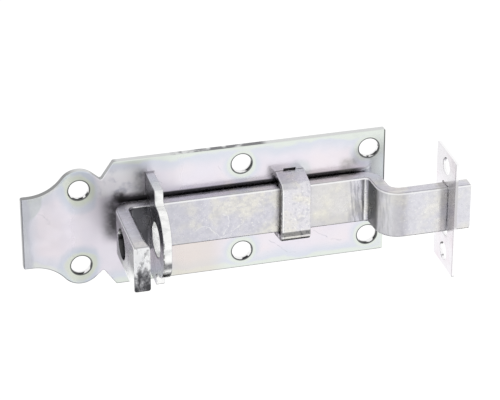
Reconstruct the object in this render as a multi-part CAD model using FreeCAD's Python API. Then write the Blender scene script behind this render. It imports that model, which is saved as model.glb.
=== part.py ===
import FreeCAD, Part
import math
import os

os.makedirs("parts", exist_ok=True)

# Padlockable slide bolt: a lobed base plate with a padlock lug and a guide staple, a cranked flat
# bolt whose end is bent up as the handle, and a slotted strike plate.
# X runs along the throw, towards the strike. Z is up along the width of the plate. The front of
# the plate looks towards -Y. The origin is in the middle of the plate's back face.

# base plate
PLATE_LENGTH = 120.0
PLATE_WIDTH = 44.0
PLATE_THICKNESS = 2.0
END_WIDTH = 25.0
END_STRAIGHT = 2.5
LOBE_RADIUS = 6.8
LOBE_HOLES_FROM_END = 18.6
LOBE_HOLE_PITCH = 27.0
NOTCH_FROM_LOBE_HOLES = 7.3
NOTCH_DEPTH = 5.9
SHOULDER_RUN = 4.1
SCREW_HOLE = 6.5
SCREWS_FROM_EDGE = 6.1
SCREW_PITCH_ALONG = 42.6
SCREWS_FROM_END = 5.6
CORNER_RADIUS = 0.6
ROLLED_EDGE = 0.35

# flat bar of the bolt
BAR_WIDTH = 16.0
BAR_THICKNESS = 4.6
BAR_EDGE = 0.7
BAR_LIFT = 0.7
BOLT_PAST_PLATE = 23.3
HANDLE_FROM_END = 29.0
HANDLE_REACH = 31.8
HANDLE_BEND = 1.6
HANDLE_CORNER = 1.2
CRANK_FROM_END = 7.4
CRANK_OFFSET = 13.5
CRANK_ANGLE = 86.0
CRANK_FOOT_BEND = 1.2
CRANK_HEAD_BEND = 3.0

# padlock holes, on one axis
PADLOCK_REACH = 13.8
HANDLE_HOLE = 10.0
LUG_HOLE = 11.4
HOLE_EDGE = 0.3

# padlock lug
LUG_FROM_END = 40.1
LUG_THICKNESS = 2.9
LUG_WIDTH = 33.8
LUG_SHOULDER = 13.0
EYE_WIDTH = 24.2
EYE_REACH = 23.8
EYE_CORNER = 8.8
EYE_ROOT = 1.6
ARCH_CORNER = 0.9
STAMPED_EDGE = 0.3

# guide staple
STAPLE_FROM_MIDDLE = 27.7
STAPLE_WIDTH = 9.6
STAPLE_THICKNESS = 2.0
STAPLE_BEND = 0.6
STAPLE_SPLAY = 10.0
STAPLE_HEADROOM = 1.5

# tenons of the lug and the staple, upset flush with the back of the plate, and how far the
# staple's slots are punched past its tenons
LUG_TENON = 5.0
STAPLE_TENON = 4.0
STAPLE_SLOT_RELIEF = 0.7
TENON_HEAD_DEPTH = 0.8
TENON_HEAD_SPREAD = 0.5

# strike plate
STRIKE_PAST_PLATE = 15.2
STRIKE_DROP = 0.9
STRIKE_THICKNESS = 1.0
STRIKE_WIDTH = 18.0
STRIKE_HEIGHT = 41.0
STRIKE_HOLE = 5.9
STRIKE_HOLE_PITCH = 30.8
STRIKE_EDGE = 0.25

# clearances
GUIDE_CLEARANCE = 0.35
TENON_CLEARANCE = 0.06
SLOT_CLEARANCE = 0.6
SLOT_END_CLEARANCE = 1.2

# places that several pieces share
LEFT_END = -PLATE_LENGTH / 2
RIGHT_END = PLATE_LENGTH / 2
BAR_FRONT = BAR_LIFT + BAR_THICKNESS
BAR_MIDDLE = BAR_LIFT + BAR_THICKNESS / 2
GUIDE_HALF = BAR_WIDTH / 2 + GUIDE_CLEARANCE
SPLAY = math.radians(STAPLE_SPLAY)
LUG_X = LEFT_END + LUG_FROM_END
LUG_FOOT_Z = (GUIDE_HALF + LUG_WIDTH / 2) / 2
STAPLE_REACH = BAR_FRONT + STAPLE_HEADROOM + STAPLE_THICKNESS
STAPLE_LEG_AT_PLATE = STAPLE_THICKNESS / math.cos(SPLAY)
STAPLE_INSIDE_AT_PLATE = GUIDE_HALF + (STAPLE_REACH - STAPLE_THICKNESS) * math.tan(SPLAY)
STAPLE_FOOT_Z = STAPLE_INSIDE_AT_PLATE + STAPLE_LEG_AT_PLATE / 2


def at(x, reach, z):
    """A point x along the throw, reach out from the plate's front face, z up."""
    return FreeCAD.Vector(x, -PLATE_THICKNESS - reach, z)


def rounded_path(corners, closed):
    """Straight runs through the corners, each a point with the radius of its bend."""
    count = len(corners)
    entries = []
    for i, (point, radius) in enumerate(corners):
        is_end = not closed and i in (0, count - 1)
        if radius == 0 or is_end:
            entries.append((point, point, point))
            continue
        back = (corners[i - 1][0] - point).normalize()
        ahead = (corners[(i + 1) % count][0] - point).normalize()
        half = back.getAngle(ahead) / 2
        run = radius / math.tan(half)
        inward = (back + ahead).normalize()
        crown = point + inward * (radius / math.sin(half) - radius)
        entries.append((point + back * run, crown, point + ahead * run))
    edges = []
    for i, (start, crown, end) in enumerate(entries):
        if (end - start).Length > 1e-6:
            edges.append(Part.Arc(start, crown, end).toShape())
        if i < count - 1 or closed:
            following = entries[(i + 1) % count][0]
            if (following - end).Length > 1e-6:
                edges.append(Part.makeLine(end, following))
    return Part.Wire(edges)


def round_hole(diameter, centre, axis, depth):
    """The tool for a round hole that goes depth to both sides of its centre."""
    return Part.makeCylinder(diameter / 2, 2 * depth, centre - axis * depth, axis)


def rim_edges(shape, centre, radius):
    """The round edges of that radius about an axis through centre."""
    rims = []
    for edge in shape.Edges:
        curve = edge.Curve
        if not isinstance(curve, Part.Circle) or abs(curve.Radius - radius) > 1e-4:
            continue
        if curve.Center.distanceToLine(centre, curve.Axis) < 1e-4:
            rims.append(edge)
    return rims


def tenon(x, z, length, height, grow):
    """A tenon down through the plate with its upset head, each side grown for its slot."""
    neck = PLATE_THICKNESS - TENON_HEAD_DEPTH
    spans = []
    for spread, depth in ((0, 0), (0, neck), (TENON_HEAD_SPREAD, PLATE_THICKNESS)):
        half_x = length / 2 + grow + spread
        half_z = height / 2 + grow + spread
        turns = [(-1, -1), (1, -1), (1, 1), (-1, 1), (-1, -1)]
        spans.append(Part.makePolygon([at(x + u * half_x, -depth, z + v * half_z) for u, v in turns]))
    shank = Part.makeLoft(spans[:2], True, True)
    head = Part.makeLoft(spans[1:], True, True)
    return shank.fuse(head).removeSplitter()


def lug_tenons(grow):
    """Both tenons of the lug, one under each foot."""
    middle = LUG_X + LUG_THICKNESS / 2
    feet = [-LUG_FOOT_Z, LUG_FOOT_Z]
    return [tenon(middle, z, LUG_THICKNESS, LUG_TENON, grow) for z in feet]


def staple_tenons(grow):
    """Both tenons of the staple, one under each leg."""
    feet = [-STAPLE_FOOT_Z, STAPLE_FOOT_Z]
    return [tenon(STAPLE_FROM_MIDDLE, z, STAPLE_TENON, STAPLE_THICKNESS, grow) for z in feet]


def staple_slot_reliefs():
    """What each slot of the staple is wider than its tenon, on the outer side, above the head."""
    depth = PLATE_THICKNESS - TENON_HEAD_DEPTH
    length = STAPLE_TENON + 2 * TENON_CLEARANCE
    start_z = STAPLE_FOOT_Z + STAPLE_THICKNESS / 2
    reliefs = []
    for side in (-1, 1):
        relief = Part.makeBox(length, depth, STAPLE_SLOT_RELIEF)
        middle_z = side * (start_z + STAPLE_SLOT_RELIEF / 2)
        corner_x = STAPLE_FROM_MIDDLE - length / 2
        relief.translate(at(corner_x, 0, middle_z - STAPLE_SLOT_RELIEF / 2))
        reliefs.append(relief)
    return reliefs


def side_rims(shape):
    """The edges round both flat sides of a piece cut square to the throw, but for its feet."""
    rims = []
    for edge in shape.Edges:
        box = edge.BoundBox
        stands_on_plate = box.YMin > at(0, STAMPED_EDGE, 0).y
        if box.XLength < 1e-4 and not stands_on_plate:
            rims.append(edge)
    return rims


def plate_screws():
    """Centres of the six screw holes on the plate's front face."""
    right = RIGHT_END - SCREWS_FROM_END
    centres = []
    for side in (-1, 1):
        centres.append(at(LEFT_END + LOBE_HOLES_FROM_END, 0, side * LOBE_HOLE_PITCH / 2))
        row_z = side * (PLATE_WIDTH / 2 - SCREWS_FROM_EDGE)
        centres.append(at(right - SCREW_PITCH_ALONG, 0, row_z))
        centres.append(at(right, 0, row_z))
    return centres


def plate_edge(side):
    """One long edge of the plate, from its narrow end: hollow, lobe, notch, shoulder, straight.

    The hollow is one arc, tangent to the straight of the end and to the lobe about the hole.
    """
    lobe = at(LEFT_END + LOBE_HOLES_FROM_END, 0, LOBE_HOLE_PITCH / 2)
    start = at(LEFT_END + END_STRAIGHT, 0, END_WIDTH / 2)
    run = lobe.x - start.x
    rise = lobe.z - start.z
    hollow_radius = (run**2 + rise**2 - LOBE_RADIUS**2) / (2 * (rise + LOBE_RADIUS))
    hollow = start + FreeCAD.Vector(0, 0, hollow_radius)
    down_to_lobe = (lobe - hollow).normalize()
    meeting = hollow + down_to_lobe * hollow_radius
    to_meeting = (down_to_lobe + FreeCAD.Vector(0, 0, -1)).normalize()
    hollow_middle = hollow + to_meeting * hollow_radius

    notch = at(lobe.x + NOTCH_FROM_LOBE_HOLES, 0, PLATE_WIDTH / 2 - NOTCH_DEPTH)
    to_notch = notch - lobe
    turn = math.atan2(to_notch.z, to_notch.x) + math.acos(LOBE_RADIUS / to_notch.Length)
    leaving = lobe + FreeCAD.Vector(math.cos(turn), 0, math.sin(turn)) * LOBE_RADIUS
    crown = lobe + FreeCAD.Vector(0, 0, LOBE_RADIUS)

    shoulder = at(notch.x + SHOULDER_RUN, 0, PLATE_WIDTH / 2)
    edges = [
        Part.makeLine(at(LEFT_END, 0, END_WIDTH / 2), start),
        Part.Arc(start, hollow_middle, meeting).toShape(),
        Part.Arc(meeting, crown, leaving).toShape(),
        Part.makeLine(leaving, notch),
        Part.makeLine(notch, shoulder),
        Part.makeLine(shoulder, at(RIGHT_END, 0, PLATE_WIDTH / 2)),
    ]
    if side < 0:
        edges = [edge.mirror(FreeCAD.Vector(), FreeCAD.Vector(0, 0, 1)) for edge in edges]
    return edges


def base_plate():
    """The lobed plate with its six screw holes and the slots for the four tenons."""
    ends = [
        Part.makeLine(at(LEFT_END, 0, -END_WIDTH / 2), at(LEFT_END, 0, END_WIDTH / 2)),
        Part.makeLine(at(RIGHT_END, 0, -PLATE_WIDTH / 2), at(RIGHT_END, 0, PLATE_WIDTH / 2)),
    ]
    outline = Part.Wire(Part.__sortEdges__(plate_edge(1) + plate_edge(-1) + ends))
    plate = Part.Face(outline).extrude(FreeCAD.Vector(0, PLATE_THICKNESS, 0))
    corners = [edge for edge in plate.Edges if is_corner(edge)]
    plate = plate.makeFillet(CORNER_RADIUS, corners)
    along = FreeCAD.Vector(0, 1, 0)
    for centre in plate_screws():
        plate = plate.cut(round_hole(SCREW_HOLE, centre, along, 2 * PLATE_THICKNESS))
    front = [edge for edge in plate.Edges if edge.BoundBox.YMax < -PLATE_THICKNESS + 1e-4]
    plate = plate.makeFillet(ROLLED_EDGE, front)
    for slot in lug_tenons(TENON_CLEARANCE) + staple_tenons(TENON_CLEARANCE):
        plate = plate.cut(slot)
    return plate.cut(staple_slot_reliefs())


def is_corner(edge):
    """Whether an edge runs through the plate at a corner of its outline, not a tangent joint."""
    x = edge.Vertexes[0].Point.x
    before_curves = x < LEFT_END + END_STRAIGHT / 2
    after_curves = x > LEFT_END + LOBE_HOLES_FROM_END + LOBE_RADIUS
    return edge.BoundBox.YLength > PLATE_THICKNESS / 2 and (before_curves or after_curves)


def bolt():
    """The flat bar, bent up as the handle at one end and cranked outwards at the other."""
    half = BAR_THICKNESS / 2
    bend = math.radians(CRANK_ANGLE)
    handle_x = LEFT_END + HANDLE_FROM_END + half
    foot_x = RIGHT_END - CRANK_FROM_END + half * math.tan(bend / 2)
    head_x = foot_x + CRANK_OFFSET / math.tan(bend)
    tip_x = RIGHT_END + BOLT_PAST_PLATE
    path = rounded_path(
        [
            (at(handle_x, HANDLE_REACH, 0), 0),
            (at(handle_x, BAR_MIDDLE, 0), HANDLE_BEND + half),
            (at(foot_x, BAR_MIDDLE, 0), CRANK_FOOT_BEND + half),
            (at(head_x, BAR_MIDDLE + CRANK_OFFSET, 0), CRANK_HEAD_BEND + half),
            (at(tip_x, BAR_MIDDLE + CRANK_OFFSET, 0), 0),
        ],
        False,
    )
    section = rounded_path(
        [
            (at(handle_x - half, HANDLE_REACH, -BAR_WIDTH / 2), BAR_EDGE),
            (at(handle_x + half, HANDLE_REACH, -BAR_WIDTH / 2), BAR_EDGE),
            (at(handle_x + half, HANDLE_REACH, BAR_WIDTH / 2), BAR_EDGE),
            (at(handle_x - half, HANDLE_REACH, BAR_WIDTH / 2), BAR_EDGE),
        ],
        True,
    )
    bar = path.makePipeShell([section], True, False)
    end_y = at(0, HANDLE_REACH, 0).y
    trim = handle_end_trim(handle_x, end_y)
    bar = bar.cut(trim)
    across = FreeCAD.Vector(1, 0, 0)
    eye = at(handle_x, PADLOCK_REACH, 0)
    bar = bar.cut(round_hole(HANDLE_HOLE, eye, across, BAR_THICKNESS))
    return bar.makeChamfer(HOLE_EDGE, rim_edges(bar, eye, HANDLE_HOLE / 2))


def handle_end_trim(handle_x, end_y):
    """What the rounding of the handle's two end corners takes off the bar."""
    size = HANDLE_CORNER
    trims = []
    for side in (-1, 1):
        middle_z = side * (BAR_WIDTH - size) / 2
        corner = Part.makeBox(2 * BAR_THICKNESS, size, size)
        corner.translate(FreeCAD.Vector(handle_x - BAR_THICKNESS, end_y, middle_z - size / 2))
        pin_centre = FreeCAD.Vector(handle_x, end_y + size, side * (BAR_WIDTH / 2 - size))
        pin = round_hole(2 * size, pin_centre, FreeCAD.Vector(1, 0, 0), 2 * BAR_THICKNESS)
        trims.append(corner.cut(pin))
    return trims


def padlock_lug():
    """The stamped lug: two feet astride the bolt, square shoulders and a round eye."""
    arch_top = BAR_FRONT + GUIDE_CLEARANCE
    half_outline = [
        (0, GUIDE_HALF, 0),
        (0, LUG_WIDTH / 2, 0),
        (LUG_SHOULDER, LUG_WIDTH / 2, CORNER_RADIUS),
        (LUG_SHOULDER, EYE_WIDTH / 2, EYE_ROOT),
        (EYE_REACH, EYE_WIDTH / 2, EYE_CORNER),
    ]
    upper = [(at(LUG_X, reach, z), radius) for reach, z, radius in half_outline]
    lower = [(at(LUG_X, reach, -z), radius) for reach, z, radius in reversed(half_outline)]
    arch = [(at(LUG_X, arch_top, side * GUIDE_HALF), ARCH_CORNER) for side in (-1, 1)]
    face = Part.Face(rounded_path(upper + lower + arch, True))
    lug = face.extrude(FreeCAD.Vector(LUG_THICKNESS, 0, 0))
    across = FreeCAD.Vector(1, 0, 0)
    eye = at(LUG_X + LUG_THICKNESS / 2, PADLOCK_REACH, 0)
    lug = lug.cut(round_hole(LUG_HOLE, eye, across, LUG_THICKNESS))
    lug = lug.makeFillet(STAMPED_EDGE, side_rims(lug))
    return lug.fuse(lug_tenons(0)).removeSplitter()


def guide_staple():
    """Band steel bent over the bolt, with splayed legs that stand on the plate."""
    spread = STAPLE_THICKNESS * math.tan(SPLAY)
    outside_front = GUIDE_HALF + STAPLE_LEG_AT_PLATE - spread
    inside_reach = STAPLE_REACH - STAPLE_THICKNESS
    outer_bend = STAPLE_BEND + STAPLE_THICKNESS
    half_outline = [
        (inside_reach, GUIDE_HALF, STAPLE_BEND),
        (0, STAPLE_INSIDE_AT_PLATE, 0),
        (0, STAPLE_INSIDE_AT_PLATE + STAPLE_LEG_AT_PLATE, 0),
        (STAPLE_REACH, outside_front, outer_bend),
    ]
    left = STAPLE_FROM_MIDDLE - STAPLE_WIDTH / 2
    upper = [(at(left, reach, z), radius) for reach, z, radius in half_outline]
    lower = [(at(left, reach, -z), radius) for reach, z, radius in reversed(half_outline)]
    band = Part.Face(rounded_path(upper + lower, True)).extrude(FreeCAD.Vector(STAPLE_WIDTH, 0, 0))
    band = band.makeFillet(STAMPED_EDGE, side_rims(band))
    return band.fuse(staple_tenons(0)).removeSplitter()


def strike_plate():
    """The thin plate on the post, with the slot for the bolt between two screw holes.

    It stands a little low, so the bolt rides near the top of the slot.
    """
    left = RIGHT_END + STRIKE_PAST_PLATE
    reach = BAR_MIDDLE + CRANK_OFFSET

    def sheet(width, height, radius):
        half = width / 2
        corners = [(reach - half, -height / 2), (reach + half, -height / 2)]
        corners += [(reach + half, height / 2), (reach - half, height / 2)]
        wire = rounded_path([(at(left, out, z - STRIKE_DROP), radius) for out, z in corners], True)
        return Part.Face(wire).extrude(FreeCAD.Vector(STRIKE_THICKNESS, 0, 0))

    plate = sheet(STRIKE_WIDTH, STRIKE_HEIGHT, CORNER_RADIUS)
    slot_width = BAR_THICKNESS + 2 * SLOT_CLEARANCE
    slot_height = BAR_WIDTH + 2 * SLOT_END_CLEARANCE
    plate = plate.cut(sheet(slot_width, slot_height, CORNER_RADIUS))
    across = FreeCAD.Vector(1, 0, 0)
    for side in (-1, 1):
        centre = at(left, reach, side * STRIKE_HOLE_PITCH / 2 - STRIKE_DROP)
        plate = plate.cut(round_hole(STRIKE_HOLE, centre, across, 2 * STRIKE_THICKNESS))
    seen = [edge for edge in plate.Edges if edge.BoundBox.XMax < left + 1e-4]
    return plate.makeFillet(STRIKE_EDGE, seen)


base_plate().exportStep("parts/base_plate.step")
bolt().exportStep("parts/bolt.step")
padlock_lug().exportStep("parts/padlock_lug.step")
guide_staple().exportStep("parts/guide_staple.step")
strike_plate().exportStep("parts/strike_plate.step")
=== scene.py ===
import math

import bmesh
import bpy
from bpy.props import FloatProperty, FloatVectorProperty, PointerProperty, StringProperty
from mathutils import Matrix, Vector


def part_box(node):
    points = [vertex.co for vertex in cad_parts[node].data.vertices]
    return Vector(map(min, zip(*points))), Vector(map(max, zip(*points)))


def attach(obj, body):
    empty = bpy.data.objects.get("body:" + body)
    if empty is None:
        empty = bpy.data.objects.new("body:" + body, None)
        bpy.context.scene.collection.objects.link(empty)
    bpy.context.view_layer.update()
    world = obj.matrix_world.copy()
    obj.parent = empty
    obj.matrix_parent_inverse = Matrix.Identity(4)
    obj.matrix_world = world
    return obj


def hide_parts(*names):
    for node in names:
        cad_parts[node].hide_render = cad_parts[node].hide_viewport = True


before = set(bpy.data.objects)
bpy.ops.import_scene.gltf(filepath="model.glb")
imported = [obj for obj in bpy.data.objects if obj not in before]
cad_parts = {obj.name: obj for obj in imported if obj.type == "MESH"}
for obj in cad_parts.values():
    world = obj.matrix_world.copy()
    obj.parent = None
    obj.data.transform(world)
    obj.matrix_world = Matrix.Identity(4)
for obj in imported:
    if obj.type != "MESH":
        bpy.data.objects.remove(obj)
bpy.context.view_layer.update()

bl_info = {
    "name": "Slide bolt",
    "version": (1, 0, 0),
    "blender": (4, 5, 0),
    "location": "3D view > Sidebar > Slide bolt",
    "description": "Dresses the padlockable slide bolt and sets its stage",
    "category": "Mesh",
}

MM = 0.001
PLATE_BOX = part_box("base_plate")

# Places and lengths on the plate, in millimetres.
HALF_LENGTH = 60.0
HALF_WIDTH = 22.0
SCREW_HOLES = ((-41.4, 13.5), (11.8, 15.9), (54.4, 15.9))  # x and z, each mirrored below
SCREW_HOLE_RADIUS = 3.25
LOBE = SCREW_HOLES[0]
LOBE_RADIUS = 6.8
NARROW_END = (-57.5, 12.5)  # x and z where its straight upper edge stops

# Places and lengths on the bar and the strike plate, in millimetres.
BAR_LOW, BAR_HIGH = (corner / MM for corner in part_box("bolt"))
BAR_WIDTH = BAR_HIGH.z - BAR_LOW.z
BAR_THICKNESS = 4.6
HALF_BAR = BAR_THICKNESS / 2
BAR_Y = BAR_HIGH.y - HALF_BAR
HANDLE_X = BAR_LOW.x + HALF_BAR
PADLOCK_HOLE_Y = -15.8
CRANK_DEGREES = 86
CRANK_OFFSET = 13.5
CRANK_INSET = 7.4  # from the plate's right end to the crank
CHAMFER = 0.3  # of the bar's right end and of its hole's rims
STRIKE_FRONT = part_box("strike_plate")[0].y / MM

# Points x, z in millimetres that the long scratches run through, and how far they waver.
SCRATCH_WIGGLE = 1.4
PLATE_SCRATCHES = (
    ((-19.6, 18.2), (-18.0, 15.7), (-14.7, 12.5)),
    ((4.2, 15.8), (5.4, 12.9)),
    ((21.1, -13.2), (24.7, -16.3), (27.4, -18.9), (30.1, -19.1)),
    ((35.6, -11.5), (41.9, -15.8), (45.8, -16.8)),
    ((-54.4, 6.8), (-52.7, 5.7), (-51.7, 4.7), (-51.3, 3.0)),
)
BAR_SCRATCHES = (
    ((-5.3, -3.6), (-2.8, -2.1), (-0.7, -2.7), (3.5, -7.2), (8.2, -4.6), (11.1, -2.3)),
    ((4.0, 1.5), (6.1, 0.3), (5.8, -3.8), (3.5, -7.2)),
)


def linear(hex_colour):
    """An sRGB hex colour as linear red, green, blue and alpha."""
    channels = [int(hex_colour[i : i + 2], 16) / 255 for i in (1, 3, 5)]
    return [c / 12.92 if c <= 0.04045 else ((c + 0.055) / 1.055) ** 2.4 for c in channels] + [1.0]


def add(tree, kind, inputs=None, **settings):
    """Adds a node. An input is a plain value, or the output of another node, which is linked."""
    node = tree.nodes.new(kind)
    for name, value in settings.items():
        setattr(node, name, value)
    for key, value in (inputs or {}).items():
        if isinstance(value, bpy.types.NodeSocket):
            tree.links.new(value, node.inputs[key])
        else:
            node.inputs[key].default_value = value
    return node


def colour(name, default, description):
    """A hex colour that a user can change."""
    return StringProperty(name=name, description=description, default=default)


def millimetres(name, default, description):
    """A length in millimetres that a user can change."""
    described = description + ", in millimetres"
    return FloatProperty(name=name, description=described, default=default, min=0.0)


class BoltLooks(bpy.types.PropertyGroup):
    """Sizes of the bar and colours of the zinc."""

    bar_edge: millimetres("Bar edge", 0.7, "Radius of the bar's long edges")
    shear_spread: millimetres("Shear spread", 0.6, "How far the sheared end is spread")
    shear_depth: millimetres("Shear depth", 4.6, "Length of the spread end")
    handle_hole: millimetres("Padlock hole", 10.0, "Diameter of the handle's hole")
    zinc_rose: colour("Rose zinc", "#E8E3EC", "Middle of the plate, where the passivation is thin")
    zinc_blue: colour("Blue zinc", "#D6DCE6", "Soft bands where the passivation looks blue")
    zinc_straw: colour("Straw zinc", "#E3E9E0", "Narrow rims where the passivation looks straw")
    bar_grey: colour("Bar grey", "#D6D5DD", "The bar's own grey")
    bar_light: colour("Bar light", "#EAE7DA", "Lighter patches of the bar")
    cut_dark: colour("Cut dark", "#6C6C70", "Torn steel on the sheared edges, thinly plated")
    staple_white: colour("Staple white", "#E3E1E6", "The staple's fine grained white")
    strike_white: colour("Strike white", "#F1EFF3", "The strike plate's smooth white")


class StageLooks(bpy.types.PropertyGroup):
    """Lens, place and light of the studio."""

    lens: FloatProperty(name="Lens", description="Focal length on a 36 mm sensor", default=176.32)
    place: FloatVectorProperty(
        name="Camera",
        description="Camera position",
        default=(-0.16862, -0.67514, 0.37233),
        subtype="TRANSLATION",
    )
    pitch: FloatProperty(
        name="Pitch",
        description="How far the camera looks down",
        default=math.radians(27.939),
        subtype="ANGLE",
    )
    yaw: FloatProperty(
        name="Yaw",
        description="How far the camera looks to the right",
        default=math.radians(15.222),
        subtype="ANGLE",
    )
    room_light: FloatProperty(
        name="Room light",
        description="Strength of the white room",
        default=1.0,
    )
    floor_drop: FloatProperty(
        name="Floor drop",
        description="How far the floor lies below the plate",
        default=0.35,
        unit="LENGTH",
    )


def millimetre_coordinates(tree, turn=0.0, stretch=(1.0, 1.0, 1.0)):
    """Object coordinates in millimetres, turned about Y and divided by the stretch."""
    place = add(tree, "ShaderNodeTexCoord").outputs["Object"]
    if turn:
        inputs = {"Vector": place, "Rotation": (0, turn, 0)}
        place = add(tree, "ShaderNodeMapping", inputs).outputs[0]
    scale = [1 / MM / s for s in stretch]
    return add(tree, "ShaderNodeMapping", {"Vector": place, "Scale": scale}).outputs[0]


def place_along(tree, axis):
    """Object coordinate along one axis, in millimetres."""
    return add(tree, "ShaderNodeSeparateXYZ", {0: millimetre_coordinates(tree)}).outputs[axis]


def facing(tree, axis):
    """How far the surface itself, smoothed or not, faces along that axis, 0 to 1."""
    normal = add(tree, "ShaderNodeTexCoord").outputs["Normal"]
    return unsigned(tree, add(tree, "ShaderNodeSeparateXYZ", {0: normal}).outputs[axis])


def step(tree, value, low, high):
    """Smooth step from 0 at low to 1 at high."""
    inputs = {"Value": value, "From Min": low, "From Max": high}
    return add(tree, "ShaderNodeMapRange", inputs, interpolation_type="SMOOTHSTEP").outputs[0]


def window(tree, value, rise, fall):
    """1 between two steps, 0 outside: rises over the first pair and falls over the second."""
    return overlap(tree, step(tree, value, *rise), step(tree, value, *fall))


def ranged(tree, value, low, high):
    """A 0 to 1 pattern spread from low to high."""
    inputs = {"Value": value, "To Min": low, "To Max": high}
    return add(tree, "ShaderNodeMapRange", inputs).outputs[0]


def clouds(tree, size, low, high, detail=4.0, turn=0.0, stretch=(1.0, 1.0, 1.0)):
    """Soft patches of that size in millimetres, 0 below low and 1 above high."""
    place = millimetre_coordinates(tree, turn, stretch)
    inputs = {"Vector": place, "Scale": 1 / size, "Detail": detail}
    return step(tree, add(tree, "ShaderNodeTexNoise", inputs).outputs["Fac"], low, high)


def chained(tree, operation, values):
    """Joins values one after another by the same operation."""
    joined, *others = values
    for value in others:
        joined = add(tree, "ShaderNodeMath", {0: joined, 1: value}, operation=operation).outputs[0]
    return joined


def overlap(tree, *masks):
    """Where all of these masks are, each as strong as it is there."""
    return chained(tree, "MULTIPLY", masks)


def either(tree, *masks):
    """Where at least one of these masks is."""
    return chained(tree, "MAXIMUM", masks)


def nearest(tree, *distances):
    """The smallest of these distances."""
    return chained(tree, "MINIMUM", distances)


def total(tree, *values):
    """These values added up."""
    return chained(tree, "ADD", values)


def short_of(tree, limit, value):
    """How much a value is short of a limit."""
    return chained(tree, "SUBTRACT", (limit, value))


def unsigned(tree, value):
    """A value without its sign."""
    return add(tree, "ShaderNodeMath", {0: value}, operation="ABSOLUTE").outputs[0]


def blend(tree, share, a, b):
    """Colour a, or b where share is 1. Either is a hex colour or the output of a node."""
    mix = add(tree, "ShaderNodeMix", {"Factor": share}, data_type="RGBA")
    for index, value in ((6, a), (7, b)):
        if isinstance(value, bpy.types.NodeSocket):
            tree.links.new(value, mix.inputs[index])
        else:
            mix.inputs[index].default_value = linear(value)
    return mix.outputs[2]


def tint(tree, share, strength, under, over):
    """Lays a colour over another with that strength where share is 1."""
    return blend(tree, overlap(tree, share, strength), under, over)


def scratches(tree, spacing, width, turn, kept):
    """Fine straight scratches: edges of long thin cells, only where a patchy mask keeps them."""
    inputs = {
        "Vector": millimetre_coordinates(tree, turn, (14.0, 1.0, 1.0)),
        "Scale": 1 / spacing,
        "Randomness": 1.0,
    }
    cells = add(tree, "ShaderNodeTexVoronoi", inputs, feature="DISTANCE_TO_EDGE")
    line = step(tree, cells.outputs["Distance"], width, 0.0)
    return overlap(tree, line, clouds(tree, 2.5 * spacing, kept, kept + 0.08, 2.0, turn))


def from_point(tree, place, point):
    """Distance in millimetres from a place to a point."""
    inputs = {0: place, 1: point}
    return add(tree, "ShaderNodeVectorMath", inputs, operation="DISTANCE").outputs["Value"]


def flattened(tree, place, kept_axes):
    """A place with its part along the axes that have a 0 left out."""
    inputs = {0: place, 1: kept_axes}
    return add(tree, "ShaderNodeVectorMath", inputs, operation="MULTIPLY").outputs[0]


def distance_to(tree, x, z):
    """Distance in millimetres, along the plate's face, to the point x, z or its mirror below."""
    parts = add(tree, "ShaderNodeSeparateXYZ", {0: millimetre_coordinates(tree)}).outputs
    inputs = {"X": parts["X"], "Z": unsigned(tree, parts["Z"])}
    folded = add(tree, "ShaderNodeCombineXYZ", inputs).outputs[0]
    return from_point(tree, folded, (x, 0, z))


def from_padlock_hole(tree):
    """Distance in millimetres from the axis of the padlock's hole."""
    across_throw = flattened(tree, millimetre_coordinates(tree), (0, 1, 1))
    return from_point(tree, across_throw, (0, PADLOCK_HOLE_Y, 0))


def scored_line(tree, points, width):
    """One long fine scratch through points x, z in millimetres, slightly wavy and broken.

    A real one is some hundredths of a millimetre wide, too thin to show, so it is drawn wider.
    """
    place = millimetre_coordinates(tree)
    inputs = {"Vector": place, "Scale": 0.5, "Detail": 2.0}
    noise = add(tree, "ShaderNodeTexNoise", inputs).outputs["Color"]
    inputs = {0: noise, 1: (0.5, 0.5, 0.5)}
    push = add(tree, "ShaderNodeVectorMath", inputs, operation="SUBTRACT").outputs[0]
    inputs = {0: push, "Scale": SCRATCH_WIGGLE}
    push = add(tree, "ShaderNodeVectorMath", inputs, operation="SCALE").outputs[0]
    place = add(tree, "ShaderNodeVectorMath", {0: place, 1: push}).outputs[0]
    place = flattened(tree, place, (1, 0, 1))
    distances = []
    for (x0, z0), (x1, z1) in zip(points, points[1:]):
        run = Vector((x1 - x0, 0, z1 - z0))
        inputs = {0: place, 1: (x0, 0, z0)}
        off = add(tree, "ShaderNodeVectorMath", inputs, operation="SUBTRACT").outputs[0]
        inputs = {0: off, 1: run / run.length_squared}
        along = add(tree, "ShaderNodeVectorMath", inputs, operation="DOT_PRODUCT")
        share = add(tree, "ShaderNodeClamp", {"Value": along.outputs["Value"]}).outputs[0]
        inputs = {0: run, "Scale": share}
        foot = add(tree, "ShaderNodeVectorMath", inputs, operation="SCALE").outputs[0]
        distances.append(from_point(tree, off, foot))
    line = step(tree, nearest(tree, *distances), width, 0.3 * width)
    return overlap(tree, line, clouds(tree, 1.2, 0.34, 0.5, 2.0))


def new_metal(name, slot):
    """An empty node tree with a metal shader, and the CAD material slot it stands for."""
    material = bpy.data.materials.new(name)
    material.use_nodes = True
    material["slot"] = slot
    tree = material.node_tree
    tree.nodes.clear()
    shader = add(tree, "ShaderNodeBsdfPrincipled", {"Metallic": 1.0})
    add(tree, "ShaderNodeOutputMaterial", {"Surface": shader.outputs[0]})
    return material, tree, shader


def finish_metal(tree, shader, base, roughness, heights):
    """Links colour and roughness, and stacks the bumps, each a pattern with its height in mm."""
    tree.links.new(base, shader.inputs["Base Color"])
    tree.links.new(roughness, shader.inputs["Roughness"])
    normal = None
    for pattern, height in heights:
        inputs = {"Height": pattern, "Distance": height * MM, "Strength": 1.0}
        if normal:
            inputs["Normal"] = normal
        normal = add(tree, "ShaderNodeBump", inputs).outputs[0]
    tree.links.new(normal, shader.inputs["Normal"])


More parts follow.
